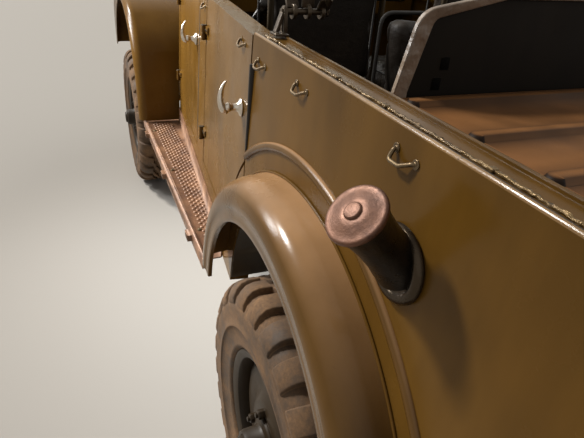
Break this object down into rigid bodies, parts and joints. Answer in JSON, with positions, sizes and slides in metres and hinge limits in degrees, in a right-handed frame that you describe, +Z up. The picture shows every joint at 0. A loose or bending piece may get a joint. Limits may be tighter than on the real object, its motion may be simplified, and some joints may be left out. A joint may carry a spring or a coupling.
{
  "type": "army 4x4 car",
  "caption": "Light open-top four-wheel-drive army field car with doors, folding windshield, hood, tailgate, folding bows and steered front wheels.",
  "frame": {"origin": "on the ground under the middle of the car", "axes": "+X is forward, +Y is to the left, +Z is up"},
  "size_m": [3.85, 1.676, 1.9316],
  "materials": {
    "body_paint": "worn semi-gloss",
    "wheel_paint": "satin",
    "deck_paint": "worn matt",
    "floor_paint": "worn matt",
    "bow_paint": "satin",
    "dark_steel": "matt",
    "worn_steel": "rusty, worn",
    "chrome": "polished",
    "copper": "tarnished",
    "tyre": "dusty",
    "seat_cloth": "matt",
    "black_plastic": "gloss",
    "lamp_glass": "clear",
    "glass": "clear"
  },
  "bodies": {
    "body": {"quarter_panels": "body_paint", "wheelhouses": "body_paint", "rear_fenders": "body_paint", "front_fenders": "body_paint", "door_posts": "body_paint", "cowl": "body_paint", "grille_panel": "body_paint", "top_brackets": "body_paint", "seat_back_panel": "body_paint", "filler_neck": "body_paint", "chassis_frame": "dark_steel", "leaf_springs": "dark_steel", "front_axle": "dark_steel", "rear_axle": "dark_steel", "drivetrain": "dark_steel", "engine_and_radiator": "dark_steel", "fuel_tank": "dark_steel", "exhaust": "dark_steel", "bumpers": "dark_steel", "steering_column": "dark_steel", "levers": "dark_steel", "front_seat_frames": "dark_steel", "running_boards": "worn_steel", "floor": "floor_paint", "rear_deck": "deck_paint", "rear_seat_pads": "seat_cloth", "front_seat_pads": "seat_cloth", "lamps": "lamp_glass", "filler_cap": "copper"},
    "left_knuckle_group": {"left_knuckle": "dark_steel"},
    "right_knuckle_group": {"right_knuckle": "dark_steel"},
    "tie_rod_group": {"tie_rod": "dark_steel"},
    "steering_wheel_group": {"steering_wheel": "black_plastic"},
    "hood_group": {"hood": "body_paint"},
    "windshield_group": {"windshield_frame": "body_paint", "windshield_glass": "glass"},
    "tailgate_group": {"tailgate": "body_paint"},
    "top_main_group": {"top_bow_main": "bow_paint"},
    "top_front_group": {"top_bow_front": "bow_paint"},
    "top_rear_group": {"top_bow_rear": "bow_paint"},
    "front_left_wheel_group": {"front_left_tyre": "tyre", "front_left_wheel": "wheel_paint"},
    "front_right_wheel_group": {"front_right_tyre": "tyre", "front_right_wheel": "wheel_paint"},
    "rear_left_wheel_group": {"rear_left_tyre": "tyre", "rear_left_wheel": "wheel_paint"},
    "rear_right_wheel_group": {"rear_right_tyre": "tyre", "rear_right_wheel": "wheel_paint"},
    "front_left_door_group": {"front_left_door": "body_paint", "front_left_handle": "chrome"},
    "front_right_door_group": {"front_right_door": "body_paint", "front_right_handle": "chrome"},
    "rear_left_door_group": {"rear_left_door": "body_paint", "rear_left_handle": "chrome"},
    "rear_right_door_group": {"rear_right_door": "body_paint", "rear_right_handle": "chrome"}
  },
  "joints": [
    {"name": "left_steer", "type": "hinge", "parent": "body", "child": "left_knuckle_group", "pos_m": [1.275, 0.6, 0.372], "axis": [0, 0, 1], "range_deg": [-28, 28]},
    {"name": "right_steer", "type": "hinge", "parent": "body", "child": "right_knuckle_group", "pos_m": [1.275, -0.6, 0.372], "axis": [0, 0, 1], "range_deg": [-28, 28]},
    {"name": "tie_rod_swing", "type": "hinge", "parent": "left_knuckle_group", "child": "tie_rod_group", "pos_m": [1.085, 0.6, 0.306], "axis": [0, 0, 1], "range_deg": [-28, 28]},
    {"name": "steering_wheel_turn", "type": "hinge", "parent": "body", "child": "steering_wheel_group", "pos_m": [0.33, 0.33, 1.12], "axis": [-0.8525, 0, 0.5228], "range_deg": [-504, 504]},
    {"name": "front_left_wheel_spin", "type": "hinge", "parent": "left_knuckle_group", "child": "front_left_wheel_group", "pos_m": [1.275, 0.72, 0.372], "axis": [0, 1, 0], "continuous": true},
    {"name": "front_right_wheel_spin", "type": "hinge", "parent": "right_knuckle_group", "child": "front_right_wheel_group", "pos_m": [1.275, -0.72, 0.372], "axis": [0, 1, 0], "continuous": true},
    {"name": "rear_left_wheel_spin", "type": "hinge", "parent": "body", "child": "rear_left_wheel_group", "pos_m": [-1.025, 0.72, 0.372], "axis": [0, 1, 0], "continuous": true},
    {"name": "rear_right_wheel_spin", "type": "hinge", "parent": "body", "child": "rear_right_wheel_group", "pos_m": [-1.025, -0.72, 0.372], "axis": [0, 1, 0], "continuous": true},
    {"name": "front_left_door_swing", "type": "hinge", "parent": "body", "child": "front_left_door_group", "pos_m": [0.74047, 0.61284, 0.90066], "axis": [0.0038, 0.0435, -0.999], "range_deg": [0, 70]},
    {"name": "front_right_door_swing", "type": "hinge", "parent": "body", "child": "front_right_door_group", "pos_m": [0.74047, -0.61284, 0.90066], "axis": [-0.0038, 0.0435, 0.999], "range_deg": [0, 70]},
    {"name": "rear_left_door_swing", "type": "hinge", "parent": "body", "child": "rear_left_door_group", "pos_m": [-0.03656, 0.68082, 0.90066], "axis": [0.0038, 0.0435, -0.999], "range_deg": [0, 70]},
    {"name": "rear_right_door_swing", "type": "hinge", "parent": "body", "child": "rear_right_door_group", "pos_m": [-0.03656, -0.68082, 0.90066], "axis": [-0.0038, 0.0435, 0.999], "range_deg": [0, 70]},
    {"name": "hood_lift", "type": "hinge", "parent": "body", "child": "hood_group", "pos_m": [0.807, 0, 1.224], "axis": [0, 1, 0], "range_deg": [-55, 0]},
    {"name": "windshield_fold", "type": "hinge", "parent": "body", "child": "windshield_group", "pos_m": [0.7, 0, 1.25], "axis": [0, 1, 0], "range_deg": [0, 100]},
    {"name": "tailgate_drop", "type": "hinge", "parent": "body", "child": "tailgate_group", "pos_m": [-1.904, 0, 0.716], "axis": [0, -1, 0], "range_deg": [0, 90]},
    {"name": "top_main_fold", "type": "hinge", "parent": "body", "child": "top_main_group", "pos_m": [-0.69, 0, 1.232], "axis": [0, -1, 0], "range_deg": [0, 80]},
    {"name": "top_front_fold", "type": "hinge", "parent": "body", "child": "top_front_group", "pos_m": [-0.69, 0, 1.232], "axis": [0, -1, 0], "range_deg": [0, 112]},
    {"name": "top_rear_fold", "type": "hinge", "parent": "body", "child": "top_rear_group", "pos_m": [-0.69, 0, 1.232], "axis": [0, -1, 0], "range_deg": [0, 44]}
  ],
  "couplings": [
    {"joint": "right_steer", "follows": "left_steer", "ratio": 1},
    {"joint": "tie_rod_swing", "follows": "left_steer", "ratio": -1},
    {"joint": "steering_wheel_turn", "follows": "left_steer", "ratio": 18},
    {"joint": "top_front_fold", "follows": "top_main_fold", "ratio": 1.4},
    {"joint": "top_rear_fold", "follows": "top_main_fold", "ratio": 0.55}
  ]
}
